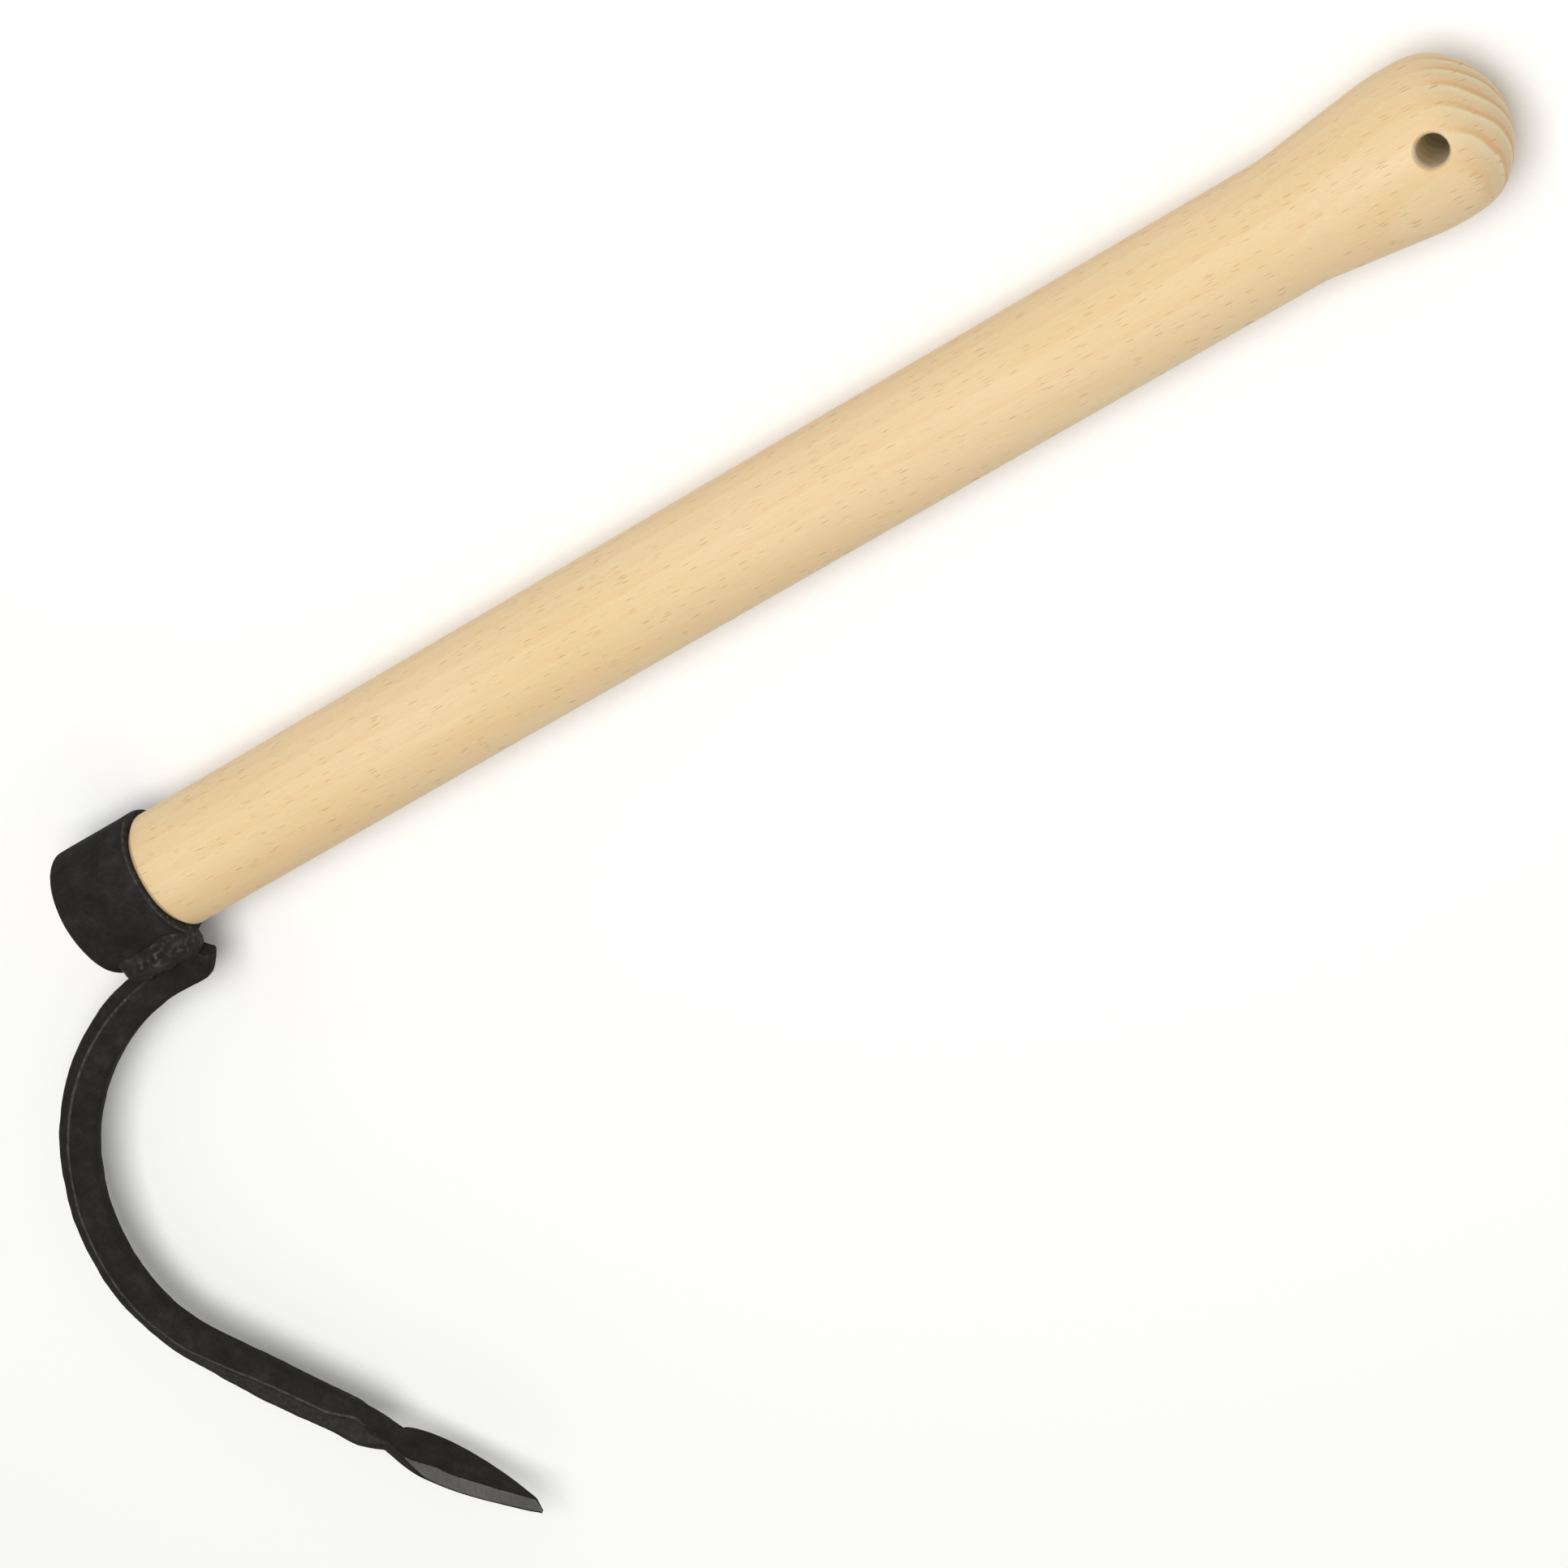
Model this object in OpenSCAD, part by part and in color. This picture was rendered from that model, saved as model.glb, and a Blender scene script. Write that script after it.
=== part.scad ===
// Single-tine hand cultivator: a turned wooden grip held in a short steel ring,
// with one forged tine welded under the ring. The tine is a flat bar bent into
// a hook on edge, twisted a quarter turn and drawn out into a leaf blade.
// The tool lies on its side. +X runs along the grip toward the knob, the hook
// opens toward -Y, and the origin is the middle of the hanging hole.

/* [Grip] */
// Diameter of the straight part of the grip
grip_d = 29.4; // [26:0.1:34]
// Distance from the hanging hole to the front face of the ring
grip_reach = 370.5; // [250:0.1:450]
// Largest diameter of the knob
knob_d = 36.5; // [35:0.1:42]
// Distance from the hanging hole to the end of the knob
knob_end = 14.8; // [12:0.1:18]
// Distance before the hanging hole at which the grip starts to swell
flare_start = 36.5; // [28:0.5:60]
// Radius of the hollow where the swelling starts
flare_hollow = 48; // [10:1:80]
// Distance before the hanging hole at which the knob is widest
knob_widest = 4.5; // [2:0.5:6]
// Radius of the long curve over the widest part of the knob
knob_crown = 57.5; // [40:0.5:80]
// Radius of the shoulder between that curve and the end of the knob
knob_round = 13; // [11:0.5:14]
// Diameter of the hanging hole
hole_d = 7; // [4:0.5:10]
// Width of the broken edge round each mouth of the hanging hole
hole_edge = 0.6; // [0.2:0.1:1.5]
// Length of wood that shows between the shoulder of the grip and the ring
shoulder_gap = 0.7; // [0.3:0.1:5]
// Radius of the rounded shoulder
shoulder_round = 0.5; // [0.2:0.1:0.9]

/* [Ring] */
// Outer diameter of the ring
ring_d = 32.6; // [32.2:0.1:38]
// Wall of the ring
ring_wall = 2.6; // [2:0.1:3.4]
// Length of the ring
ring_len = 22.5; // [15:0.5:30]
// Width of the broken edges of the ring
ring_edge = 0.5; // [0.2:0.1:1]

/* [Wedge] */
// Length of the wedge across the end grain
wedge_w = 16; // [8:0.5:20]
// Depth that the wedge is driven into the end grain
wedge_depth = 14; // [8:0.5:18]
// Thickness of the wedge at its head
wedge_head = 2.4; // [1.5:0.1:4]
// Thickness of the wedge at its thin end
wedge_tail = 0.5; // [0.3:0.1:1]

/* [Tine bar] */
// Width of the bar, measured in the plane of the hook
bar_w = 10.2; // [8:0.1:14]
// Thickness of the bar
bar_t = 6; // [5:0.25:8]
// Width of the two bevels along the outer edge of the bar
bevel_w = 3.2; // [1.5:0.1:3.6]
// Depth of those bevels
bevel_t = 2.2; // [1:0.1:2.3]
// Radius of the two rounded corners along the inner edge of the bar
inner_round = 2; // [0.5:0.1:2.2]
// Distance that the end of the bar stops short of the rear face of the ring
bar_short = 0.5; // [0:0.1:4]
// Length of the corner cut off the end of the bar
end_cut_l = 5.8; // [2:0.1:8]
// Width of the corner cut off the end of the bar
end_cut_w = 4.4; // [2:0.1:6]

/* [Hook] */
// Straight length of the bar under the ring
tang_len = 12.5; // [6:0.1:20]
// Radius of the first bend, at the middle of the bar
bend_1_r = 58.7; // [40:0.1:80]
// Angle of the first bend
bend_1_a = 88.7; // [70:0.1:100]
// Radius of the second bend, at the middle of the bar
bend_2_r = 48.3; // [30:0.1:80]
// Angle of the second bend
bend_2_a = 36; // [20:0.5:50]
// Length of the straight leg from the second bend to the start of the twist
leg_len = 36.2; // [20:0.1:60]
// Turn of the bar along the leg, before the twist proper
leg_turn = 15; // [0:1:30]
// Length of the twisted neck
twist_len = 16.3; // [12:0.1:30]

/* [Blade] */
// Length of the leaf blade from the neck to the tip
blade_len = 38.6; // [30:0.1:60]
// Width of the leaf blade
blade_w = 18.6; // [14:0.1:26]
// Thickness of the leaf blade
blade_t = 2.4; // [2:0.1:3.5]
// Width of the neck where the twist ends
neck_w = 9.8; // [7:0.1:12]
// Width of the ground bevel along the cutting edge
grind_w = 3.4; // [2:0.1:6]
// Thickness left at the cutting edge
edge_t = 0.4; // [0.2:0.1:0.8]
// Distance that the blade is set toward the grip from the middle of the bar
blade_set = 1.1; // [0:0.1:1.5]

/* [Weld] */
// Angle round the ring from the middle of the bar to the toe of the weld
toe_angle = 42; // [30:1:55]
// Distance that the weld reaches over the face of the bar
weld_reach = 4; // [2.5:0.1:4.5]
// Radius of each puddle of the weld
puddle_r = 7.4; // [6.5:0.1:9]
// Distance between two puddles
puddle_pitch = 4.2; // [2.5:0.1:6]
// Distance that the weld runs past each face of the ring
weld_over = 0.3; // [0.1:0.1:2]
// Gap between the ring and the edge of the bar, which the weld bridges
root_gap = 0.4; // [0:0.1:0.8]

/* [Hidden] */

wood = "burlywood";
black_paint = [0.17, 0.16, 0.15];
bright_steel = "silver";

// Faces round a circle and the spare length of cutting tools
$fn = 96;
spare = 1;

// Radii and places that follow from the sizes above
grip_r = grip_d / 2;
knob_r = knob_d / 2;
ring_r = ring_d / 2;
bore_r = ring_r - ring_wall;
front_x = -grip_reach;
rim_x = front_x + ring_len;
shoulder_x = rim_x + shoulder_gap;
bar_y = -(ring_r + root_gap + bar_w / 2);
bar_end_x = rim_x - bar_short;

// Steps along a curved profile, degrees in one step of a bend, and steps along
// the leg, the neck and the blade
arc_steps = 12;
bend_step = 3;
leg_steps = 24;
twist_steps = 24;
blade_steps = 36;

// Share of the way from 0 to 1 with a soft start and a soft end
function ease(t) = let (c = min(max(t, 0), 1)) c * c * (3 - 2 * c);
function mix(a, b, t) = a + (b - a) * t;

// Points of an arc about a centre, from one angle to another
function arc(centre, r, from, to, steps) =
    [for (i = [0:steps]) let (a = mix(from, to, i / steps))
        centre + r * [cos(a), sin(a)]];

// Half profile of the grip, as pairs of length and radius
crown_c = [-knob_widest, knob_r - knob_crown];
flare_from = [-flare_start, grip_r];
to_crown = crown_c - flare_from;
flare_a = atan2(to_crown[1], to_crown[0]) + asin(knob_crown / norm(to_crown));
crown_drop = 5;
round_c = crown_c + (knob_crown - knob_round) * [sin(crown_drop), cos(crown_drop)];
dome_q = round_c[0] - knob_end;
dome_r = (knob_round * knob_round - dome_q * dome_q - round_c[1] * round_c[1])
    / (2 * (dome_q + knob_round));
dome_c = [knob_end - dome_r, 0];
dome_a = atan2(round_c[1], round_c[0] - dome_c[0]);
hollow_c = [-flare_start - flare_hollow * tan(flare_a / 2), grip_r + flare_hollow];
shoulder_c = [shoulder_x + shoulder_round, grip_r - shoulder_round];

function grip_profile() = concat(
    [[front_x, 0], [front_x, bore_r], [shoulder_x - shoulder_gap / 2, bore_r]],
    [[shoulder_x, bore_r + (grip_r - shoulder_round - bore_r) / 2]],
    arc(shoulder_c, shoulder_round, 180, 90, arc_steps / 2),
    arc(hollow_c, flare_hollow, -90, -90 + flare_a, arc_steps),
    arc(crown_c, knob_crown, 90 + flare_a, 90 - crown_drop, arc_steps),
    arc(round_c, knob_round, 90 - crown_drop, dome_a, arc_steps),
    arc(dome_c, dome_r, dome_a, 0, arc_steps));

// Puts a half profile drawn along X and turned about it in place
module turned(profile) {
    rotate([0, 90, 0]) rotate_extrude() polygon([for (p = profile) [p[1], p[0]]]);
}

module handle() {
    color(wood) difference() {
        turned(grip_profile());
        cylinder(h = knob_d + 2 * spare, d = hole_d, center = true);
        for (side = [0, 1]) mirror([0, 0, side])
            translate([0, 0, knob_r - hole_edge])
                cylinder(h = 2 * hole_edge, d1 = hole_d, d2 = hole_d + 4 * hole_edge);
        wedge_solid();
    }
}

module socket_ring() {
    color(black_paint) turned([
        [front_x + ring_edge, bore_r], [front_x, bore_r + ring_edge],
        [front_x, ring_r - ring_edge], [front_x + ring_edge, ring_r],
        [rim_x - ring_edge, ring_r], [rim_x, ring_r - ring_edge],
        [rim_x, bore_r + ring_edge], [rim_x - ring_edge, bore_r]]);
}

// The wedge that spreads the end of the grip inside the ring
module wedge_solid() {
    translate([0, 0, -wedge_w / 2]) linear_extrude(wedge_w) polygon([
        [front_x, -wedge_head / 2], [front_x, wedge_head / 2],
        [front_x + wedge_depth, wedge_tail / 2], [front_x + wedge_depth, -wedge_tail / 2]]);
}

module end_wedge() {
    color(bright_steel) wedge_solid();
}

// Section of the bar. The first number points to the outside of the hook and
// the second across the plane of the hook. Its two corners on the inside of the
// hook are rounded in a few steps.
corner_steps = 3;
function corner(u, v, ru, rv, from) =
    [for (i = [0:corner_steps]) let (a = from + 90 * i / corner_steps)
        [u + ru * cos(a), v + rv * sin(a)]];
function section(half_w, half_t, top_w, top_t, low_w, low_t, ru, rv) = concat(
    [[half_w, half_t - top_t], [half_w - top_w, half_t]],
    corner(-half_w + ru, half_t - rv, ru, rv, 90),
    corner(-half_w + ru, -half_t + rv, ru, rv, 180),
    [[half_w - low_w, -half_t], [half_w, -half_t + low_t]]);

// Lengths along the middle line of the bar, counted from its end under the ring
bend_1_from = tang_len;
bend_2_from = bend_1_from + bend_1_r * bend_1_a * PI / 180;
leg_from = bend_2_from + bend_2_r * bend_2_a * PI / 180;
twist_from = leg_from + leg_len;
blade_from = twist_from + twist_len;
tip_at = blade_from + blade_len;

// The direction of the outside of the hook, and the middle line itself
function out_at(s) = 90
    + bend_1_a * min(max((s - bend_1_from) / (bend_2_from - bend_1_from), 0), 1)
    + bend_2_a * min(max((s - bend_2_from) / (leg_from - bend_2_from), 0), 1);
function toward(a) = [cos(a), sin(a)];
bend_1_c = [bar_end_x - tang_len, bar_y - bend_1_r];
bend_2_c = bend_1_c + (bend_1_r - bend_2_r) * toward(90 + bend_1_a);
leg_start = bend_2_c + bend_2_r * toward(90 + bend_1_a + bend_2_a);
function middle_at(s) = s < bend_1_from ? [bar_end_x - s, bar_y]
    : s < bend_2_from ? bend_1_c + bend_1_r * toward(out_at(s))
    : s < leg_from ? bend_2_c + bend_2_r * toward(out_at(s))
    : leg_start + (s - leg_from) * toward(out_at(s) + 90);

// How far the bar has turned about its middle line by then, first along the leg
// and then in the twist proper
function turn_at(s) = leg_turn * ease((s - leg_from) / leg_len)
    + (90 - leg_turn) * ease((s - twist_from) / twist_len);
// Share of the change from bar to blade that is done by then. The bar keeps its
// thickness over the first part of the twist.
drawn_late = 0.1;
function drawn_at(s) =
    ease(((s - twist_from) / twist_len - drawn_late) / (1 - drawn_late));

// Half width of the blade at a share of its length from the tip: a pointed leaf
// that is widest at leaf_full and drops steeply into the neck. The cutting side
// is straighter at the tip and starts sooner than the back.
tip_half_w = 0.5;
leaf_full = 0.7;
edge_point = 1.18;
edge_shoulder = 0.65;
edge_lead = 2.5;
back_point = 0.73;
back_shoulder = 0.35;
function leaf(t, point, shoulder) = t < leaf_full
    ? mix(tip_half_w, blade_w / 2, pow(sin(90 * max(t, 0) / leaf_full), point))
    : mix(neck_w / 2, blade_w / 2, pow(sin(90 * (1 - t) / (1 - leaf_full)), shoulder));

// Half width of the tine on one side of its middle line
function side_at(s, lead, point, shoulder) = let (from = blade_from - lead)
    s < from
    ? mix(bar_w, neck_w, ease((s - twist_from) / (from - twist_from))) / 2
    : leaf((tip_at - s) / (tip_at - from), point, shoulder);
function edge_at(s) = side_at(s, edge_lead, edge_point, edge_shoulder);
function back_at(s) = side_at(s, 0, back_point, back_shoulder);
function half_width_at(s) = (edge_at(s) + back_at(s)) / 2;
function lean_at(s) = (edge_at(s) - back_at(s)) / 2;

// Half thickness of the tine
function half_thick_at(s) =
    mix(bar_t, mix(2 * edge_t, blade_t, ease((tip_at - s) / grind_w)), drawn_at(s)) / 2;

// Shares of the blade at which the ground bevel starts and has grown to its full
// width, and its largest width in half widths of the blade
grind_start = 0.06;
grind_grow = 0.3;
grind_limit = 1.4;
function ground_at(s) =
    ease(((s - blade_from) / blade_len - grind_start) / (grind_grow - grind_start));

// The forged edges that the bar's bevels and rounded corners turn into on the
// blade, and the largest rounding in half thicknesses of the blade
forged_bevel = 0.4;
forged_round_w = 1.6;
forged_round_t = 0.7;
round_limit = 0.9;
low_edge = edge_t / 4;

// On the way into the twist the ridge of the near bevel swings over the face of
// the bar and back to the edge
ridge_lead = 5;
ridge_swing = 2.3;
function swing_at(s) =
    let (t = min(max((s - twist_from + ridge_lead) / twist_len, 0), 1))
    pow(sin(180 * t), 2);
function section_at(s) = let (
    d = drawn_at(s), g = ground_at(s), w = half_width_at(s), h = half_thick_at(s),
    ridge = mix(bevel_w, forged_bevel, d) + ridge_swing * swing_at(s))
    section(w, h,
        min(mix(ridge, grind_w, g), grind_limit * w),
        mix(mix(bevel_t, forged_bevel, d), 2 * h - edge_t, g),
        mix(bevel_w, min(forged_bevel, w / 2), d), mix(bevel_t, low_edge, d),
        min(mix(inner_round, forged_round_w, d), w / 2),
        min(mix(inner_round, forged_round_t, d), round_limit * h));

// The section turned about the middle line and put in its place
function placed(s) = let (
    a = turn_at(s), at = middle_at(s), out = toward(out_at(s)),
    lean = lean_at(s), set = blade_set * drawn_at(s))
    [for (p = section_at(s)) let (w = p[0] + lean, t = p[1] + set, u = w * cos(a) - t * sin(a))
        [at[0] + u * out[0], at[1] + u * out[1], w * sin(a) + t * cos(a)]];

// Lengths at which the sections stand, closer together toward the tip
tip_crowding = 1.6;
function steps(from, to, n) = [for (i = [1:n]) mix(from, to, i / n)];
ring_stations = concat([0], [bend_1_from],
    steps(bend_1_from, bend_2_from, ceil(bend_1_a / bend_step)));
stations = concat(ring_stations,
    steps(bend_2_from, leg_from, ceil(bend_2_a / bend_step)),
    steps(leg_from, twist_from, leg_steps),
    steps(twist_from, blade_from, twist_steps),
    [for (i = [1:blade_steps]) tip_at - blade_len * pow(1 - i / blade_steps, tip_crowding)]);

// Skin over a row of closed sections that all have the same number of points
module loft(rings) {
    n = len(rings[0]);
    m = len(rings);
    polyhedron(
        points = [for (r = rings) each r],
        faces = concat(
            [[for (i = [n - 1:-1:0]) i]],
            [for (k = [0:m - 2], i = [0:n - 1]) let (j = (i + 1) % n)
                each [[k * n + i, (k + 1) * n + j, (k + 1) * n + i],
                    [k * n + i, k * n + j, (k + 1) * n + j]]],
            [[for (i = [0:n - 1]) (m - 1) * n + i]]));
}

// The tine from its end under the ring over a row of stations, with the corner
// cut off its end
module forged(at_stations) {
    difference() {
        loft([for (s = at_stations) placed(s)]);
        translate([0, 0, -bar_t]) linear_extrude(2 * bar_t) polygon([
            [bar_end_x - end_cut_l, bar_y - bar_w / 2],
            [bar_end_x, bar_y - bar_w / 2 + end_cut_w],
            [bar_end_x + spare, bar_y - bar_w / 2 + end_cut_w],
            [bar_end_x + spare, bar_y - bar_w / 2 - spare],
            [bar_end_x - end_cut_l, bar_y - bar_w / 2 - spare]]);
    }
}

module tine() {
    color(black_paint) forged(stations);
}

// One bead of weld on the +Z side: round puddles in the corner between the
// ring and the face of the bar, cut back to both of them
toe = ring_r * [-cos(toe_angle), sin(toe_angle)];
heel = [-ring_r - weld_reach, bar_t / 2];
chord = norm(toe - heel);
chord_dir = (toe - heel) / chord;
puddle_c = (toe + heel) / 2
    + sqrt(puddle_r * puddle_r - chord * chord / 4) * [chord_dir[1], -chord_dir[0]];
weld_from = front_x - weld_over;
weld_to = rim_x + weld_over;
puddles = round((weld_to - weld_from) / puddle_pitch);
flat_half = bar_t / 2 - bevel_t;

module bead() {
    color(black_paint) difference() {
        intersection() {
            for (i = [0:puddles - 1])
                translate([mix(weld_from, weld_to, (i + 0.5) / puddles), puddle_c[0], puddle_c[1]])
                    sphere(puddle_r);
            translate([weld_from, -2 * ring_r, flat_half])
                cube([weld_to - weld_from, 2 * ring_r, ring_r]);
        }
        translate([weld_from - spare, 0, 0]) rotate([0, 90, 0])
            cylinder(h = weld_to - weld_from + 2 * spare, r = ring_r);
        forged(ring_stations);
    }
}

module weld_near() { bead(); }
module weld_far() { mirror([0, 0, 1]) bead(); }

handle();
socket_ring();
end_wedge();
tine();
weld_near();
weld_far();
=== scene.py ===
# %% [markdown]
# # A single-tine hand cultivator
#
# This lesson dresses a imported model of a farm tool: a turned beech grip in a
# short steel ring, with one forged tine welded under it. The model comes from
# the frame, in metres, and each piece below is built where the frame says.

# %% Load the frame
from math import asin, atan2, ceil, cos, degrees, hypot, pi, radians, sin, sqrt, tan

import bmesh
import bpy
from mathutils import Matrix, Vector, noise


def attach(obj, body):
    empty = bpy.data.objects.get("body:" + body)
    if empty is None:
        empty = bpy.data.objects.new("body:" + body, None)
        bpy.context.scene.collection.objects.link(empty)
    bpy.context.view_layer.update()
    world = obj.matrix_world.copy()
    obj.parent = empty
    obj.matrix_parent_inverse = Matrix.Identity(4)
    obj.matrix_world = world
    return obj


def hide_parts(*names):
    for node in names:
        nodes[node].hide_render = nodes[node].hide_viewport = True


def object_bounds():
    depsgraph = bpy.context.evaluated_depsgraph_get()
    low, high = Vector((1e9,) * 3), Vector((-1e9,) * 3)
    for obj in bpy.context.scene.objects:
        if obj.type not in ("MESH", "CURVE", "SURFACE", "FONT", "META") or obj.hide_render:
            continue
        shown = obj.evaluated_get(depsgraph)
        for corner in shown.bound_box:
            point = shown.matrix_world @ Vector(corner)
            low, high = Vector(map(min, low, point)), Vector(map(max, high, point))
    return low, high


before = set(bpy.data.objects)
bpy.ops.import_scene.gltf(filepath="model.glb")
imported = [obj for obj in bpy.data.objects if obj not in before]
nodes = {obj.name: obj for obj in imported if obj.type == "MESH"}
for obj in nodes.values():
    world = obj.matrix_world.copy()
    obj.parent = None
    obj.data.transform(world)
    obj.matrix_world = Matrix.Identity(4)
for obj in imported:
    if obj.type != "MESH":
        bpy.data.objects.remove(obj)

MM = 0.001
scene = bpy.context.scene
cad_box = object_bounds()
print("nodes:", ", ".join(sorted(nodes)))
print("box in mm:", [round(v / MM, 1) for corner in cad_box for v in corner])

# %% [markdown]
# ## The camera
#
# The photograph was taken from a little over a metre away, from above the
# knob's end. Seen that way the round rim of the ring becomes an ellipse whose
# width gives the tilt of the grip. The lens follows from how much wider the
# knob's end of the grip looks than the ring's end. A camera could be moved by
# eye until it looks right, but measured values give the same view each run.

# %% Place the camera
PHOTO_PX = 1932
FOCAL_PX = 5850
SENSOR = 36
RIGHT = Vector((0.81674257, -0.52899729, -0.23042012))
UP = Vector((0.45108984, 0.83440126, -0.31668991))
TOWARD_CAMERA = RIGHT.cross(UP)
CAMERA_AT = Vector((184.9, 113.7, 994.2)) * MM

camera_data = bpy.data.cameras.new("camera")
camera_data.sensor_width = SENSOR
camera_data.lens = FOCAL_PX / PHOTO_PX * SENSOR
camera_data.clip_start = 0.05
camera = bpy.data.objects.new("camera", camera_data)
turn = Matrix((RIGHT, UP, TOWARD_CAMERA)).transposed()
camera.matrix_world = Matrix.Translation(CAMERA_AT) @ turn.to_4x4()
scene.collection.objects.link(camera)
scene.camera = camera
print("lens", round(camera_data.lens, 1), "mm,",
      round(CAMERA_AT.length, 2), "m from the hanging hole")

# %% [markdown]
# ## Helpers for materials
#
# Colours are written as they are picked on a screen, and one function turns
# them linear. One more adds a node, sets its fields and fills its sockets:
# a socket gets either a value or the output of another node. A colour ramp
# gets its stops in the same call. Patterns are sized in real millimetres, so
# one number function gives how often a length of some millimetres fits into
# a metre along each axis.

# %% Colour and node helpers
def linear(hex_colour):
    channels = [int(hex_colour[i:i + 2], 16) / 255 for i in (1, 3, 5)]
    return [c / 12.92 if c <= 0.04045 else ((c + 0.055) / 1.055) ** 2.4
            for c in channels] + [1.0]


def add(tree, kind, sockets, stops=(), **fields):
    made = tree.nodes.new(kind)
    for name, value in fields.items():
        setattr(made, name, value)
    for key, value in sockets.items():
        if isinstance(value, bpy.types.NodeSocket):
            tree.links.new(value, made.inputs[key])
        else:
            made.inputs[key].default_value = value
    for at, _ in stops[2:]:
        made.color_ramp.elements.new(at)
    if stops:
        for element, (at, colour) in zip(made.color_ramp.elements, stops):
            element.position = at
            element.color = linear(colour)
    return made


def per_mm(*lengths):
    return [1 / (length * MM) for length in lengths]


def new_material(name):
    made = bpy.data.materials.new(name)
    made.use_nodes = True
    made.node_tree.nodes.clear()
    return made, made.node_tree


print("mid grey on the screen is", round(linear("#808080")[0], 3), "in light")

# %% [markdown]
# ## Beech
#
# The grip is steamed beech, turned, sanded and left bare. Beech is pale, with
# soft growth layers and short brown dashes, the ends of its rays, that lie
# along the grain. A flat picture of a board wrapped round the grip would show
# a seam, and the wrong figure on the knob. So the pattern is solid: it fills
# the whole block, and the surface of the grip cuts through it as the lathe
# does. One Mapping node turns it to the axes of the log, so the long sides of
# the grip show dashes and faint bands, and the round end of the knob shows
# the layers as arcs. The grain leans a few degrees off the axis, as it does
# in most sawn blanks. Lengths are in millimetres, the one along the grain
# first.

# %% Growth layers of the beech
LAYER, LAYER_DRIFT, PITH_DEPTH = 4.3, 0.06, 90
WAVE_RADIANS = 20  # how far Blender's wave turns in one unit
LAYERS_TURN, GRAIN_LEAN = radians(-36), radians(4)
CLOUD = (70, 11, 11)


def growth_layers(tree, place, log, layer_stops, base_stops):
    # slow warm and cool clouds along the grain
    stretched = add(tree, "ShaderNodeMapping", {
        "Vector": log, "Scale": per_mm(*CLOUD)})
    clouds = add(tree, "ShaderNodeTexNoise", {
        "Vector": stretched.outputs["Vector"], "Scale": 1.0, "Detail": 2.0})
    base = add(tree, "ShaderNodeValToRGB", {"Fac": clouds.outputs["Fac"]},
               stops=base_stops)

    # layers round a far pith, almost straight along the grain
    stretched = add(tree, "ShaderNodeMapping", {
        "Vector": log, "Scale": (LAYER_DRIFT / MM, 1 / MM, 1 / MM)})
    layers = add(tree, "ShaderNodeTexWave", {
        "Vector": stretched.outputs["Vector"],
        "Scale": 2 * pi / (WAVE_RADIANS * LAYER),
        "Distortion": 4.2, "Detail": 2.0, "Detail Scale": 0.6},
        wave_type="RINGS", rings_direction="X", wave_profile="SAW")
    banded = add(tree, "ShaderNodeValToRGB", {"Fac": layers.outputs["Fac"]},
                 stops=layer_stops)

    # strong on the end of the knob, faint on the long sides
    facing = add(tree, "ShaderNodeSeparateXYZ", {"Vector": place.outputs["Normal"]})
    end_grain = add(tree, "ShaderNodeMath", {0: facing.outputs["X"]},
                    operation="ABSOLUTE")
    band_share = add(tree, "ShaderNodeMapRange", {
        "Value": end_grain.outputs["Value"], "From Min": 0.2, "From Max": 0.9,
        "To Min": 0.12, "To Max": 0.85}, interpolation_type="SMOOTHSTEP")
    return add(tree, "ShaderNodeMix", {
        "Factor": band_share.outputs["Result"], "A": base.outputs["Color"],
        "B": banded.outputs["Color"]}, data_type="RGBA").outputs["Result"]


print("layers", LAYER, "mm apart, pith", PITH_DEPTH, "mm from the grip's axis")

# %% [markdown]
# A ray is a thin ribbon of cells that runs from the pith outwards. Turned wood
# cuts it across, and what shows is a brown dash. Each cell of a Voronoi
# texture holds one dash: the cells are stretched to the grain, the middle of
# each is the dash, and the cell's own random colour makes some faint and
# leaves others out.

# %% Rays of the beech
RAYS_TURN = radians(50)
RAY_CELL = (5.4, 0.44, 5)
RAY_CORE = 0.3


def rays(tree, log):
    # 3.2 mm along the grain, 0.26 mm wide and 3 mm deep where they are longest
    aside = add(tree, "ShaderNodeMapping", {
        "Vector": log, "Rotation": (RAYS_TURN, 0, 0)})
    stretched = add(tree, "ShaderNodeMapping", {
        "Vector": aside.outputs["Vector"], "Scale": per_mm(*RAY_CELL)})
    cells = add(tree, "ShaderNodeTexVoronoi", {
        "Vector": stretched.outputs["Vector"], "Scale": 1.0, "Randomness": 1.0})
    core = add(tree, "ShaderNodeMapRange", {
        "Value": cells.outputs["Distance"], "From Min": 0.1,
        "From Max": RAY_CORE, "To Min": 1.0, "To Max": 0.0},
        interpolation_type="SMOOTHSTEP")
    draw = add(tree, "ShaderNodeSeparateColor", {"Color": cells.outputs["Color"]})
    strength = add(tree, "ShaderNodeMapRange", {
        "Value": draw.outputs["Red"], "From Min": 0.25, "From Max": 1.0,
        "To Min": 0.0, "To Max": 0.75})
    return add(tree, "ShaderNodeMath", {
        0: core.outputs["Result"], 1: strength.outputs["Result"]},
        operation="MULTIPLY").outputs["Value"]


print("rays up to", [round(2 * RAY_CORE * side, 2) for side in RAY_CELL], "mm")

# %% Put the beech together
FIBRE = (12, 0.3, 0.3)  # drawn a little coarser than real fibres, or none show


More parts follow.
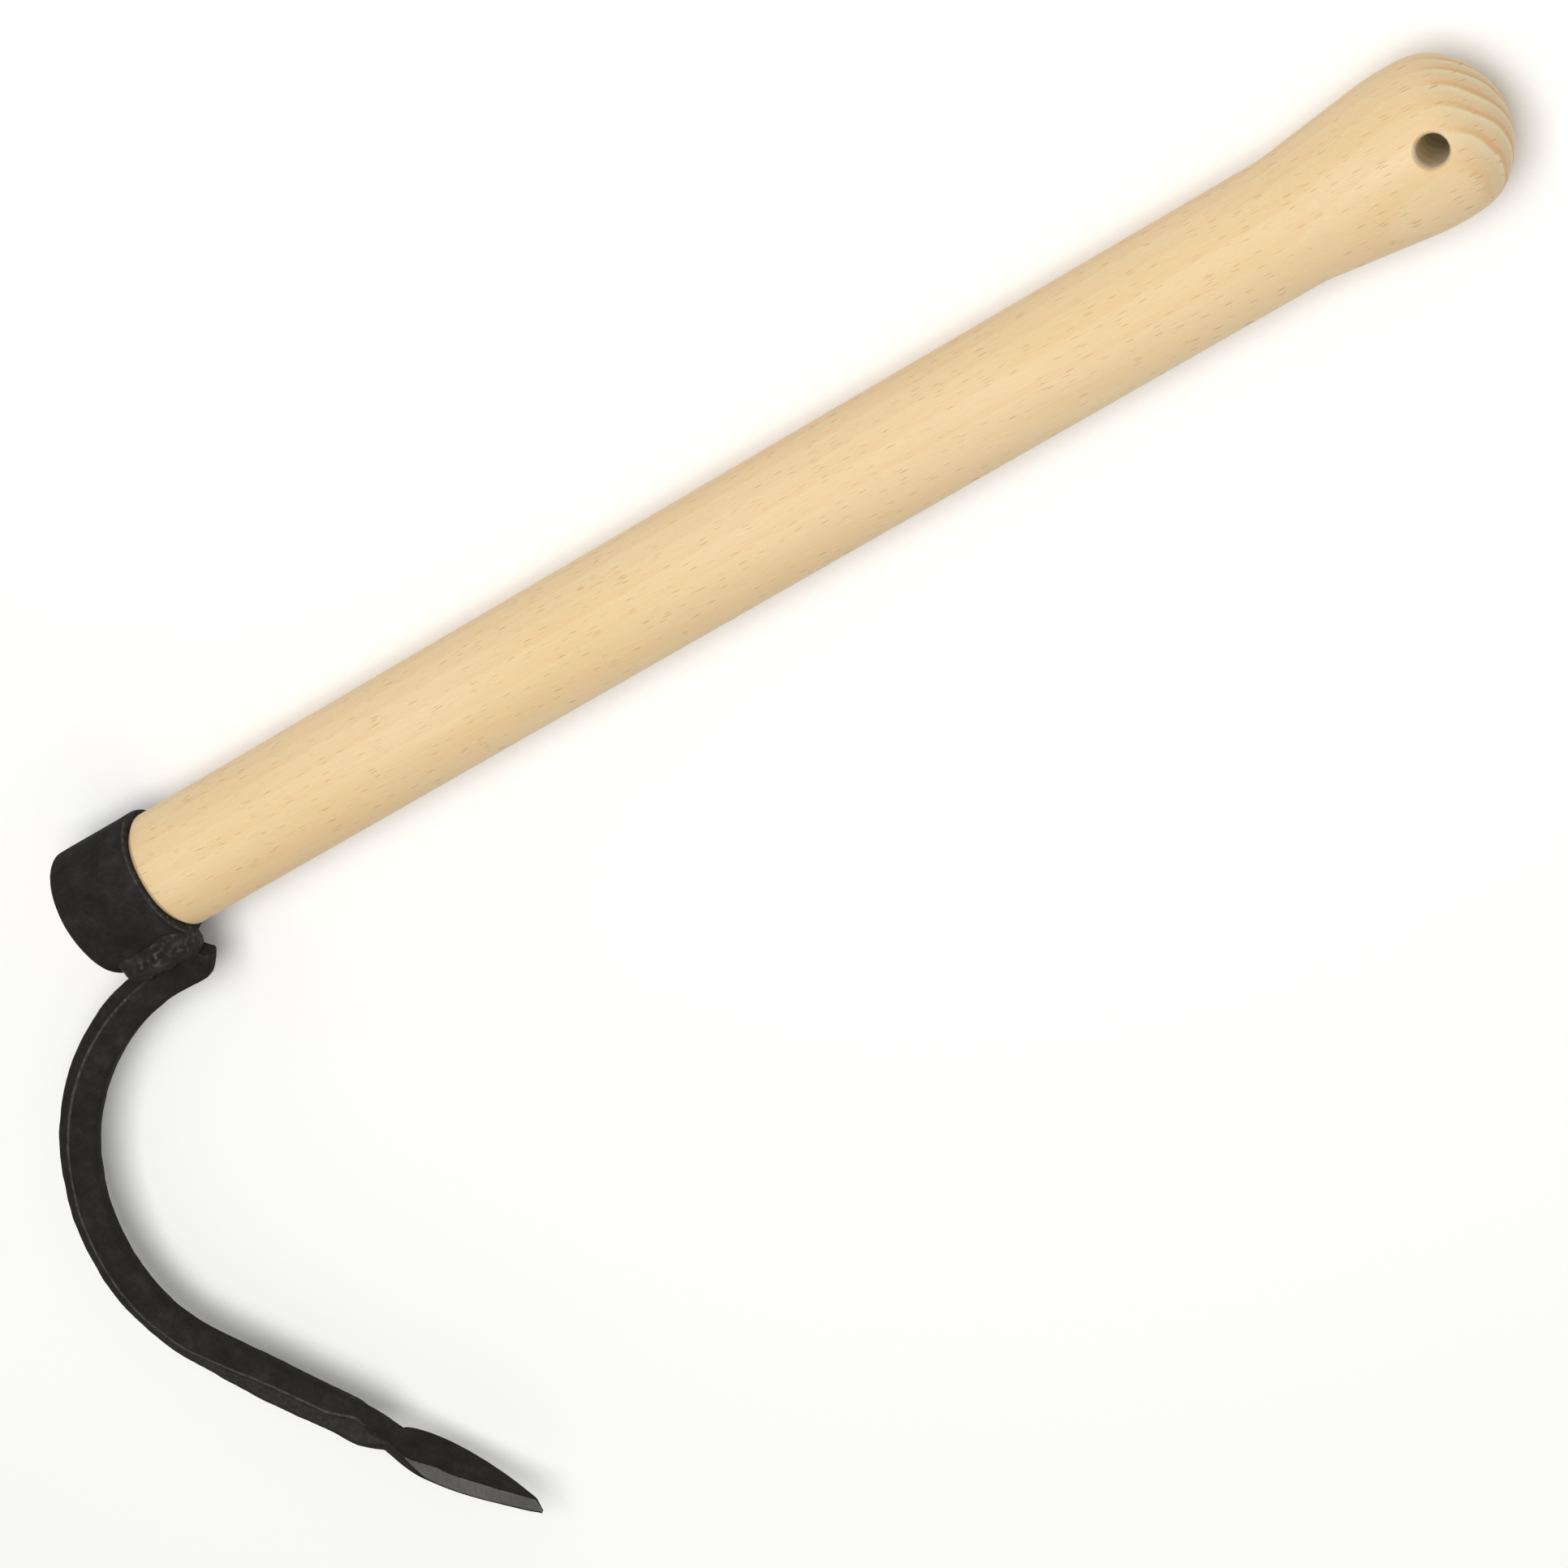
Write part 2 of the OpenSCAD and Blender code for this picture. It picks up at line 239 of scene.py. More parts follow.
def beech(name, layer_stops, base_stops, dash, roughness):
    made, tree = new_material(name)
    place = add(tree, "ShaderNodeTexCoord", {})
    log = add(tree, "ShaderNodeMapping", {
        "Vector": place.outputs["Object"], "Location": (0, 0, PITH_DEPTH * MM),
        "Rotation": (LAYERS_TURN, 0, GRAIN_LEAN)}).outputs["Vector"]
    layered = growth_layers(tree, place, log, layer_stops, base_stops)

    stretched = add(tree, "ShaderNodeMapping", {
        "Vector": log, "Scale": per_mm(*FIBRE)})
    fibres = add(tree, "ShaderNodeTexNoise", {
        "Vector": stretched.outputs["Vector"], "Scale": 1.0, "Detail": 3.0})
    fibre_tone = add(tree, "ShaderNodeMapRange", {
        "Value": fibres.outputs["Fac"], "From Min": 0.3, "From Max": 0.7,
        "To Min": 0.965, "To Max": 1.03})
    fibred = add(tree, "ShaderNodeVectorMath", {
        0: layered, "Scale": fibre_tone.outputs["Result"]}, operation="SCALE")
    rayed = add(tree, "ShaderNodeMix", {
        "Factor": rays(tree, log), "A": fibred.outputs["Vector"],
        "B": linear(dash)}, data_type="RGBA")

    relief = add(tree, "ShaderNodeBump", {
        "Height": fibres.outputs["Fac"], "Distance": 0.02 * MM, "Strength": 0.6})
    shader = add(tree, "ShaderNodeBsdfPrincipled", {
        "Base Color": rayed.outputs["Result"], "Roughness": roughness,
        "Specular IOR Level": 0.3, "Normal": relief.outputs["Normal"]})
    add(tree, "ShaderNodeOutputMaterial", {"Surface": shader.outputs["BSDF"]})
    return made


# Sanded to a dull silk, so the light spreads over it without a highlight.
turned_beech = beech(
    "steamed_beech_turned_and_sanded",
    [(0.0, "#E9DCB6"), (0.35, "#E2CBA0"), (0.6, "#E3C29A"), (0.8, "#DAAC74"),
     (0.92, "#E0BA88"), (1.0, "#E9DCB6")],
    [(0.3, "#E7C897"), (0.7, "#EBD0A3")], "#B98C58", 0.55)
# Cut by the drill and never sanded, so rougher than the outside. Its colour is
# painted paler than the outside, as painted light, so the wall still shows
# though little light falls into the hole.
bore_beech_painted_light = beech(
    "steamed_beech_drilled_bore",
    [(0.0, "#F2E6CC"), (0.8, "#DDCAA6"), (1.0, "#F2E6CC")],
    [(0.3, "#E8D9B9"), (0.7, "#F2E6CC")], "#C4AC84", 0.75)
print("beech:", turned_beech.name, "and", bore_beech_painted_light.name)

# %% [markdown]
# ## Black paint
#
# The iron is dipped in thin black paint. It hides the colour of the steel but
# not the forged skin under it, so the paint is a little uneven in tone and
# gloss, rubbed greyer along the edges and knocked bright in a few spots. The
# same grey also paints highlights: lines along ridges and the ring's rim, a
# lighter bevel on the leg, and glints on the welds. A shader can guess where
# edges are from the mesh, but the guess changes with how dense the mesh is.
# So each piece stores its rubbed edges and painted highlights as it is made,
# and the paint reads them.

# %% Rubbed edges, painted highlights and knocks
CLOUDS, RUB, NICK_APART = 6, 1.2, 3
NICK_SHARE = 0.8  # four of five possible knocks are left out


# the stored mask holds rubbed edges and painted highlights; noise breaks it into patches
def rubbing_and_highlights(tree, place):
    edge = add(tree, "ShaderNodeAttribute", {}, attribute_name="edge_wear_and_highlight")
    rub = add(tree, "ShaderNodeTexNoise", {
        "Vector": place, "Scale": 1 / (RUB * MM), "Detail": 3.0})
    rub_share = add(tree, "ShaderNodeMapRange", {
        "Value": rub.outputs["Fac"], "From Min": 0.2, "From Max": 0.65})
    return add(tree, "ShaderNodeMath", {
        0: edge.outputs["Fac"], 1: rub_share.outputs["Result"]},
        operation="MULTIPLY").outputs["Value"]


def knocks(tree, place, worn_and_highlit):
    # down to the steel, up to 1 mm across, and only on the strips of rubbed paint and
    # painted highlight
    cells = add(tree, "ShaderNodeTexVoronoi", {
        "Vector": place, "Scale": 1 / (NICK_APART * MM)})
    core = add(tree, "ShaderNodeMapRange", {
        "Value": cells.outputs["Distance"], "From Min": 0.07, "From Max": 0.16,
        "To Min": 1.0, "To Max": 0.0})
    draw = add(tree, "ShaderNodeSeparateColor", {"Color": cells.outputs["Color"]})
    few = add(tree, "ShaderNodeMath", {0: draw.outputs["Red"], 1: NICK_SHARE},
              operation="GREATER_THAN")
    spot = add(tree, "ShaderNodeMath", {
        0: core.outputs["Result"], 1: few.outputs["Value"]},
        operation="MULTIPLY")
    return add(tree, "ShaderNodeMath", {0: spot.outputs["Value"], 1: worn_and_highlit},
               operation="MULTIPLY").outputs["Value"]


print("paint clouds of", CLOUDS, "mm, rubbed in patches of", RUB, "mm")

# %% Make the paint
def painted(name, grain, depth, sheen):
    made, tree = new_material(name)
    place = add(tree, "ShaderNodeTexCoord", {}).outputs["Object"]
    clouds = add(tree, "ShaderNodeTexNoise", {
        "Vector": place, "Scale": 1 / (CLOUDS * MM), "Detail": 5.0,
        "Roughness": 0.72})
    tone = add(tree, "ShaderNodeValToRGB", {"Fac": clouds.outputs["Fac"]},
               stops=[(0.3, "#212120"), (0.52, "#2A2928"), (0.72, "#363532")])
    worn_and_highlit = rubbing_and_highlights(tree, place)
    # grey for rubbed paint, and the same grey as painted highlights and glints
    rubbed_and_highlit = add(tree, "ShaderNodeMix", {
        "Factor": worn_and_highlit, "A": tone.outputs["Color"],
        "B": linear("#55534E")}, data_type="RGBA")
    knocked = add(tree, "ShaderNodeMix", {
        "Factor": knocks(tree, place, worn_and_highlit), "A": rubbed_and_highlit.outputs["Result"],
        "B": linear("#9A9890")}, data_type="RGBA")

    gloss = add(tree, "ShaderNodeMapRange", {
        "Value": clouds.outputs["Fac"], "From Min": 0.3, "From Max": 0.7,
        "To Min": 0.54, "To Max": 0.66})
    grit = add(tree, "ShaderNodeTexNoise", {
        "Vector": place, "Scale": 1 / (grain * MM), "Detail": 3.0})
    relief = add(tree, "ShaderNodeBump", {
        "Height": grit.outputs["Fac"], "Distance": depth * MM})
    shader = add(tree, "ShaderNodeBsdfPrincipled", {
        "Base Color": knocked.outputs["Result"], "Specular IOR Level": sheen,
        "Roughness": gloss.outputs["Result"], "Normal": relief.outputs["Normal"]})
    add(tree, "ShaderNodeOutputMaterial", {"Surface": shader.outputs["BSDF"]})
    return made


# Satin: a weak sheen that shows every hollow of the forged skin.
forged_paint = painted("satin_black_paint_on_forged_steel", 1.1, 0.14, 0.012)
# Drawn tube is smoother, so the sheen lies on it in one even band.
tube_paint = painted("satin_black_paint_on_drawn_tube", 1.1, 0.07, 0.012)
# Frozen weld metal is glassier, so its lumps catch the light one by one.
weld_paint = painted("satin_black_paint_on_weld_metal", 0.9, 0.08, 0.06)
print("paints:", [m.name for m in (forged_paint, tube_paint, weld_paint)])

# %% [markdown]
# ## Bare steel
#
# The cutting edge is ground after painting and stays bright, with grinding
# lines across it. An Anisotropic setting could stretch the highlight, but from
# here the lines themselves are seen, so they are drawn: a noise stretched
# along the stroke of the stone gives both the tone and the relief. The wedge
# in the end of the grip is pressed sheet with its mill skin on, made the same
# way.

# %% Make the steels
def bare_steel(name, dark, light, line, roughness):
    made, tree = new_material(name)
    place = add(tree, "ShaderNodeTexCoord", {}).outputs["Object"]
    stretched = add(tree, "ShaderNodeMapping", {
        "Vector": place, "Scale": per_mm(*line)})
    lines = add(tree, "ShaderNodeTexNoise", {
        "Vector": stretched.outputs["Vector"], "Scale": 1.0, "Detail": 4.0})
    tone = add(tree, "ShaderNodeValToRGB", {"Fac": lines.outputs["Fac"]},
               stops=[(0.3, dark), (0.7, light)])
    relief = add(tree, "ShaderNodeBump", {
        "Height": lines.outputs["Fac"], "Distance": 0.02 * MM})
    shader = add(tree, "ShaderNodeBsdfPrincipled", {
        "Base Color": tone.outputs["Color"], "Metallic": 1.0,
        "Roughness": roughness, "Normal": relief.outputs["Normal"]})
    add(tree, "ShaderNodeOutputMaterial", {"Surface": shader.outputs["BSDF"]})
    return made


# A fresh grind scatters in lines, so it reads as pale grey and never mirrors.
ground_steel = bare_steel("ground_carbon_steel", "#71706F", "#7F7E7C",
                          (0.3, 2.0, 4.0), 0.42)
# Mill skin: dull and slightly brown, so the wedge stays a dark line in the wood.
wedge_steel = bare_steel("pressed_mild_steel", "#5F5B55", "#8B867E",
                         (2.0, 0.6, 3.0), 0.5)
nodes["end_wedge"].data.materials.clear()
nodes["end_wedge"].data.materials.append(wedge_steel)
print("materials:", len(bpy.data.materials))

# %% [markdown]
# ## Helpers for pieces
#
# Each piece is made in a bmesh, in metres, at its place in the frame. The
# turned ones start as half a profile of a few points that is spun round the
# X axis. Arcs in the profile are short rows of points. A hole through a round
# knob has no simple edge loop to inset, so where one shape is cut out of
# another, a Boolean modifier does it and is baked in at once.

# %% Profiles, spinning, carving and finishing
def arc(centre, r, start, stop, steps):
    angles = [radians(start + (stop - start) * i / steps) for i in range(steps + 1)]
    return [(centre[0] + r * cos(a), centre[1] + r * sin(a)) for a in angles]


def spun(profile, axis=(1, 0, 0), steps=192):
    bm = bmesh.new()
    points = [bm.verts.new(point) for point in profile]
    edges = [bm.edges.new(pair) for pair in zip(points, points[1:])]
    bmesh.ops.spin(bm, geom=points + edges, axis=axis, cent=(0, 0, 0),
                   angle=2 * pi, steps=steps, use_merge=True)
    bmesh.ops.remove_doubles(bm, verts=bm.verts, dist=0.001 * MM)
    return bm


def new_object(name, bm):
    bmesh.ops.recalc_face_normals(bm, faces=bm.faces)
    mesh = bpy.data.meshes.new(name)
    bm.to_mesh(mesh)
    bm.free()
    made = bpy.data.objects.new(name, mesh)
    scene.collection.objects.link(made)
    return made


def baked(made):
    graph = bpy.context.evaluated_depsgraph_get()
    bm = bmesh.new()
    bm.from_mesh(made.evaluated_get(graph).to_mesh())
    bpy.data.objects.remove(made)
    return bm


def carved(bm, cutter_bm):
    made, cutter = new_object("blank", bm), new_object("cutter", cutter_bm)
    cut = made.modifiers.new("cut", "BOOLEAN")
    cut.operation, cut.solver, cut.object = "DIFFERENCE", "EXACT", cutter
    bm = baked(made)
    bpy.data.objects.remove(cutter)
    return bm


def finish_piece(name, bm, finishes, node, crisp=40):
    piece = new_object(name, bm)
    for finish in finishes:
        piece.data.materials.append(finish)
    piece.data.shade_smooth()
    piece.data.set_sharp_from_angle(angle=radians(crisp))
    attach(piece, "root")
    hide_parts(node)
    print(name, len(piece.data.vertices), "vertices,",
          len(piece.data.polygons), "faces")


print("a quarter arc in 4 steps:", len(arc((0, 0), 1, 0, 90, 4)), "points")

# %% [markdown]
# ## The grip
#
# The grip is one turning. From the ring it runs straight, swells through a
# long hollow into the knob, and closes with a round shoulder and a shallow
# dome. Its front end is turned down to a spigot that fills the ring. A
# cylinder could be scaled ring by ring to the outline, but a turner works
# from a template, and so does a spin: one side of the outline goes once round
# the axis. Its arcs meet without a kink, so their centres are worked out from
# the sizes: a long crown over the knob, a round at its end, a dome that
# closes it and a hollow that leads back to the straight.

# %% Turn the grip
FRONT, RIM = -370.5, -348.0
GRIP_R, KNOB_R, BORE_R, RING_R = 14.7, 18.25, 13.7, 16.3
KNOB_END, KNOB_WIDEST = 14.8, -4.5
CROWN, ROUND, CROWN_DROP = 57.5, 13.0, 5.0
FLARE_START, HOLLOW = -36.5, 48.0
SHOULDER, SHOULDER_ROUND = RIM + 0.7, 0.5
SPIGOT_CHAMFER, SPIGOT_LOOP = 0.4, 6
NECK_L, NECK_R = 0.3, 0.25
STRAIGHT_LOOPS = range(-340, -60, 20)

crown_c = (KNOB_WIDEST, KNOB_R - CROWN)
to_crown = (crown_c[0] - FLARE_START, crown_c[1] - GRIP_R)
flare = degrees(atan2(to_crown[1], to_crown[0]) + asin(CROWN / hypot(*to_crown)))
round_c = (crown_c[0] + (CROWN - ROUND) * sin(radians(CROWN_DROP)),
           crown_c[1] + (CROWN - ROUND) * cos(radians(CROWN_DROP)))
reach = round_c[0] - KNOB_END
dome_r = (ROUND ** 2 - reach ** 2 - round_c[1] ** 2) / (2 * (reach + ROUND))
dome_c = (KNOB_END - dome_r, 0)
dome_a = degrees(atan2(round_c[1], round_c[0] - dome_c[0]))
hollow_c = (FLARE_START - HOLLOW * tan(radians(flare / 2)), GRIP_R + HOLLOW)

profile = [(FRONT, 0), (FRONT, SPIGOT_LOOP), (FRONT, BORE_R - SPIGOT_CHAMFER),
           (FRONT + SPIGOT_CHAMFER, BORE_R), (SHOULDER - NECK_L, BORE_R),
           (SHOULDER, BORE_R + NECK_R)]
profile += arc((SHOULDER + SHOULDER_ROUND, GRIP_R - SHOULDER_ROUND),
               SHOULDER_ROUND, 180, 90, 5)
profile += [(x, GRIP_R) for x in STRAIGHT_LOOPS]
profile += arc(hollow_c, HOLLOW, -90, -90 + flare, 20)
profile += arc(crown_c, CROWN, 90 + flare, 90 - CROWN_DROP, 24)[1:]
profile += arc(round_c, ROUND, 90 - CROWN_DROP, dome_a, 18)[1:]
profile += arc(dome_c, dome_r, dome_a, 0, 10)[1:]
grip = spun([(x * MM, r * MM, 0) for x, r in profile])
print("grip profile:", len(profile), "points, flare", round(flare, 1), "degrees")

# %% [markdown]
# The hanging hole runs across the knob and its mouths are softened with
# sandpaper. A bevel on the cut edge would break up on the round knob. Instead
# the cutter is a spun rod whose ends widen through a small arc, and the ends
# are moved along the hole until they follow the surface of the knob, which
# keeps the softened edge equally wide all round. A second cutter makes the
# kerf for the wedge in the spigot's end. It starts outside the wood, so there
# it is wider by its taper.

# %% Drill the hanging hole and split the spigot
HOLE_R, MOUTH, MOUTH_OPEN, MOUTH_DEEP = 3.5, 2.0, 125, 0.8
FUNNEL_W, FUNNEL_H, PAST = 1.2, 0.5, 3
ROD_LOOPS = (0, 5, 10, 14)
WEDGE_W, WEDGE_DEPTH, WEDGE_HEAD, WEDGE_TAIL = 16.0, 14.0, 2.4, 0.5
KERF_PAST, KERF_WIDER = 1, 0.14

mouth = arc((HOLE_R + MOUTH, KNOB_R - MOUTH_DEEP * MOUTH), MOUTH,
            180, MOUTH_OPEN, 8)
funnel_r, rod_end = mouth[-1][0] + FUNNEL_W, KNOB_R + PAST
half = ([(HOLE_R, h) for h in ROD_LOOPS] + mouth
        + [(funnel_r, mouth[-1][1] + FUNNEL_H), (funnel_r, rod_end)])
rod = ([(0, rod_end)] + half[::-1] + [(r, -h) for r, h in half[1:]]
       + [(0, -rod_end)])
drill = spun([(r * MM, 0, h * MM) for r, h in rod], axis=(0, 0, 1), steps=96)
for vert in drill.verts:
    x, y, h = (v / MM for v in vert.co)
    if ROD_LOOPS[-1] + 1 < abs(h) < rod_end - 1:
        here = crown_c[1] + sqrt(CROWN ** 2 - (x - crown_c[0]) ** 2)
        sink = KNOB_R - sqrt(here ** 2 - y ** 2)
        vert.co.z -= (sink if h > 0 else -sink) * MM
grip = carved(grip, drill)

kerf = bmesh.new()
bmesh.ops.create_cube(kerf, size=1)
for vert in kerf.verts:
    deep = vert.co.x > 0
    thick = WEDGE_TAIL if deep else WEDGE_HEAD + KERF_WIDER
    vert.co = Vector((FRONT + (WEDGE_DEPTH if deep else -KERF_PAST),
                      vert.co.y * thick, vert.co.z * WEDGE_W)) * MM
grip = carved(grip, kerf)

# the faces of the bore get the drilled wood
JUST_OUTSIDE = HOLE_R + 0.12
in_bore = [f for f in grip.faces
           if f.calc_center_median().xy.length < JUST_OUTSIDE * MM]
for face in in_bore:
    face.material_index = 1
finish_piece("grip", grip, [turned_beech, bore_beech_painted_light], "handle")
print("faces in the bore:", len(in_bore))

# %% [markdown]
# ## Small tools for shaping
#
# The iron parts share four small functions. One goes from a value to another,
# one keeps a share between 0 and 1, and one starts and stops softly, as a
# bend made by hand does. The last moves each point of a mesh along its normal
# by a smooth noise, given as a height and a size in millimetres.

# %% Mixing, easing and roughening
def mix(a, b, t):
    return a + (b - a) * t


def clamped(t):
    return min(max(t, 0.0), 1.0)


def ease(t):
    t = clamped(t)
    return t * t * (3 - 2 * t)


def roughened(bm, amount, size, keep=None):
    bm.normal_update()
    for vert, normal in [(v, v.normal.copy()) for v in bm.verts]:
        share = keep(vert) if keep else 1.0
        bump = noise.noise(vert.co / (size * MM))
        vert.co += normal * bump * amount * share * MM


print("ease goes", [round(ease(i / 4), 2) for i in range(5)])

# %% [markdown]
# ## The ring
#
# The ring is sawn from thick steel tube, and its edges are broken: a small
# round outside, a wider chamfer inside that lets the grip start. A cylinder
# primitive has no wall to work on, so a spin makes the tube from its wall and
# a bevel makes the edges. Where the bar is welded on, the rim is ground back,
# and a little noise takes away the perfect roundness of the tube.

# %% Saw the ring
EDGE, LEAD_IN, RING_LOOPS = 0.5, 0.6, 24

steps_x = [FRONT + (RIM - FRONT) * i / RING_LOOPS for i in range(RING_LOOPS + 1)]
wall = [(x, RING_R) for x in steps_x] + [(x, BORE_R) for x in reversed(steps_x)]
ring = spun([(x * MM, r * MM, 0) for x, r in wall + wall[:1]])
wear_and_highlight = ring.verts.layers.float.new("edge_wear_and_highlight")


def at_end(vert, radius):
    r = hypot(vert.co.y, vert.co.z)
    return abs(r - radius * MM) < 0.01 * MM and min(
        abs(vert.co.x - FRONT * MM), abs(vert.co.x - RIM * MM)) < 0.01 * MM


for radius, width, steps in ((RING_R, EDGE, 4), (BORE_R, LEAD_IN, 2)):
    rims = [e for e in ring.edges if all(at_end(v, radius) for v in e.verts)]
    bmesh.ops.bevel(ring, geom=rims, offset=width * MM, segments=steps,
                    profile=0.5, affect="EDGES", material=-1)
print("ring with broken edges:", len(ring.verts), "vertices")

# %% Rub the ring's edges, paint light on its rim, and grind the rim back
ROUND_WEAR_AND_HIGHLIGHT, RIM_WEAR_AND_LIGHT, NEAR = 0.6, 0.4, 0.02
# the ground part: its depth in mm, then its middle, half width and fade in degrees
GROUND_L, GROUND_AT, GROUND_HALF, GROUND_FADE = 2.4, 4, 40, 32

for vert in ring.verts:
    r, x = hypot(vert.co.y, vert.co.z) / MM, vert.co.x / MM
    to_end = min(x - FRONT, RIM - x)
    on_rim = BORE_R + LEAD_IN - NEAR < r < RING_R - EDGE + NEAR
    # outer round: rubbed grey with a painted highlight line; rim face: lightened, partly
    # thin paint on the sawn face, partly painted light
    if r > RING_R - EDGE and NEAR < to_end < EDGE - NEAR:
        vert[wear_and_highlight] = ROUND_WEAR_AND_HIGHLIGHT
    elif on_rim and RIM - x < NEAR:
        vert[wear_and_highlight] = RIM_WEAR_AND_LIGHT
roughened(ring, amount=0.10, size=7.0)
roughened(ring, amount=0.03, size=1.8)
for vert in ring.verts:
    round_at = degrees(atan2(-vert.co.z, -vert.co.y))
    off = abs(round_at - GROUND_AT)
    ground_back = GROUND_L * ease((GROUND_HALF - off) / GROUND_FADE)
    vert.co.x -= ground_back * (vert.co.x - FRONT * MM) / (RIM - FRONT)
finish_piece("ring", ring, [tube_paint], "socket_ring", 50)

# %% [markdown]
# ## The tine
#
# The tine is one flat bar. Under the ring it is straight, then two bends on
# edge make the hook. Near the tip the smith twists the bar a quarter turn and
# draws it out into a leaf, which is ground along one side. A curve object can
# sweep a section along a line, and turn and scale it, but the section keeps
# one shape. So the piece is made as the smith makes it: one section of the
# bar is drawn, and its face is extruded from station to station along the
# middle line, where each new section is turned, thinned and widened as the
# shape asks.
# Each bend is given as its radius in millimetres and its angle in degrees,
# and s is the length along the middle line from the end under the rim.

# %% Middle line of the tine
BAR_W, BAR_T, TANG = 10.1, 6.0, 12.5
BEND_1, BEND_2 = (58.6, 88.7), (48.2, 36.0)
LEG, LEG_TURN, TWIST, BLADE = 36.2, 15.0, 16.3, 38.3
WELD_GAP, BAR_SHORT = 0.4, 0.5
BAR_Y = -(RING_R + WELD_GAP + BAR_W / 2)
BAR_END = RIM - BAR_SHORT

second_from = TANG + BEND_1[0] * radians(BEND_1[1])
leg_from = second_from + BEND_2[0] * radians(BEND_2[1])
twist_from = leg_from + LEG
blade_from = twist_from + TWIST
tip_at = blade_from + BLADE


def outward_at(s):
    share_1 = clamped((s - TANG) / (second_from - TANG))
    share_2 = clamped((s - second_from) / (leg_from - second_from))
    return 90 + BEND_1[1] * share_1 + BEND_2[1] * share_2


def toward(angle):
    return Vector((cos(radians(angle)), sin(radians(angle))))


centre_1 = Vector((BAR_END - TANG, BAR_Y - BEND_1[0]))
centre_2 = centre_1 + (BEND_1[0] - BEND_2[0]) * toward(90 + BEND_1[1])
leg_start = centre_2 + BEND_2[0] * toward(90 + BEND_1[1] + BEND_2[1])


def middle_at(s):
    if s < TANG:
        return Vector((BAR_END - s, BAR_Y))
    if s < second_from:
        return centre_1 + BEND_1[0] * toward(outward_at(s))
    if s < leg_from:
        return centre_2 + BEND_2[0] * toward(outward_at(s))
    return leg_start + (s - leg_from) * toward(outward_at(s) + 90)


print("tine:", round(tip_at, 1), "mm long, twist from", round(twist_from, 1), "mm")

# %% [markdown]
# The leaf is fuller and sooner on its cutting side than on its back. Two
# quarter sines meet at its widest point, one toward the tip and one toward
# the neck, and a power on each makes it fuller or leaner. Both sides have the
# same formula with numbers of their own.

# %% Outline of the leaf
TIP_HALF_W, LEAF_FULL = 0.35, 0.7
CUTTING_SIDE = {"lead": 2.5, "neck": 4.9, "widest": 9.3,
                "point": 1.18, "shoulder": 0.65}
BACK_SIDE = {"lead": 1.4, "neck": 4.1, "widest": 8.5,
             "point": 0.78, "shoulder": 0.5}


def leaf(t, neck, widest, point, shoulder):
    if t < LEAF_FULL:
        toward_tip = sin(pi / 2 * max(t, 0) / LEAF_FULL)
        return mix(TIP_HALF_W, widest, toward_tip ** point)
    toward_neck = sin(pi / 2 * (1 - t) / (1 - LEAF_FULL))
    return mix(neck, widest, max(toward_neck, 0) ** shoulder)


def side_at(s, lead, **shape):
    start = blade_from - lead
    if s < start:
        drawing = ease((s - twist_from) / (start - twist_from))
        return mix(BAR_W / 2, shape["neck"], drawing)
    return leaf((tip_at - s) / (tip_at - start), **shape)


half_leaf = blade_from + BLADE / 2
print("half-way along the leaf:", round(side_at(half_leaf, **CUTTING_SIDE), 1),
      "and", round(side_at(half_leaf, **BACK_SIDE), 1), "mm from the middle")

# %% [markdown]
# The section has six corners. Two bevels were rolled along the outer edge of
# the bar, and the inner corners are rounded. The bevel that faces the camera
# widens along the leg and most at the neck, where the twist pulls it open,
# and the leg itself swells a little on that side. On the blade the same bevel
# becomes the ground edge: it starts as a thin point after the neck and grows
# to its full width. The grinder's hand is never quite steady, so the inner
# line of the grind wanders a little. The end of the bar under the rim is
# sheared off: sloped toward the ring and cut in a curve on the inside, with
# its last edge rounded.

# %% Sizes of the section
# names end in _W across the bar, in _T through its thickness, in _L along it
BEVEL_W, BEVEL_T, INNER_ROUND, BAR_CRISP = 3.2, 2.2, 2.0, 0.45
SWING_W, SWING_T = 1.3, 0.9  # what the leg adds to the bevel
LEG_BULGE, BULGE_LEAD, BULGE_BEVEL = 0.85, 4, 1.5
NECK_BEVEL, NECK_LEAD = 1.6, 5
# the leaf, and how it is drawn out of the bar
BLADE_T, BLADE_SET, FORGED, DRAWN_LATE = 2.4, 0.8, 0.4, 0.1
LEAF_ROUND_W, LEAF_ROUND_T, LEAF_CRISP = 1.6, 0.7, 0.12
TIP_ONE_SIDED = 0.6  # near the tip most of the metal comes off one face
# the grind, its start and growth as shares of the blade, and its narrow end
GRIND_W, EDGE_T, GRIND_LATE, GRIND_RISE = 3.4, 0.4, 0.05, 0.25
GRIND_TIP, TIP_PLAIN, TIP_FADE = 0.7, 2, 16
WANDERS = ((0.3, 5, 7.3), (0.12, 1.3, 2.1))  # amount, length, row of the noise
# the sheared end under the rim
END_AT, END_ROUND = 1.4, 0.4
END_CUT_L, END_CUT_W, END_CUT_BEND = 4.4, 4.3, 1.6
END_SLOPE_L, END_SLOPE_W = 2.4, 4.2
# the most that each strip may take of the section's width or half thickness
BEVEL_MOST, LOW_MOST, ROUND_MOST, ROUND_DEEP = 0.7, 0.4, 0.25, 0.9
print("bevel", BEVEL_W, "by", BEVEL_T, "mm, grind", GRIND_W, "mm wide")

# %% Corners of the section
def wander_at(s):
    return sum(amount * noise.noise(Vector((s / length, 0, row)))
               for amount, length, row in WANDERS)


def halves_at(s, bulge, inset):
    on = s - END_AT
    slope = END_SLOPE_W * max(1 - on / END_SLOPE_L, 0)
    cut = END_CUT_W * max(1 - on / END_CUT_L, 0) ** END_CUT_BEND
    return (side_at(s, **CUTTING_SIDE) + bulge - inset - slope,
            side_at(s, **BACK_SIDE) - inset - cut)


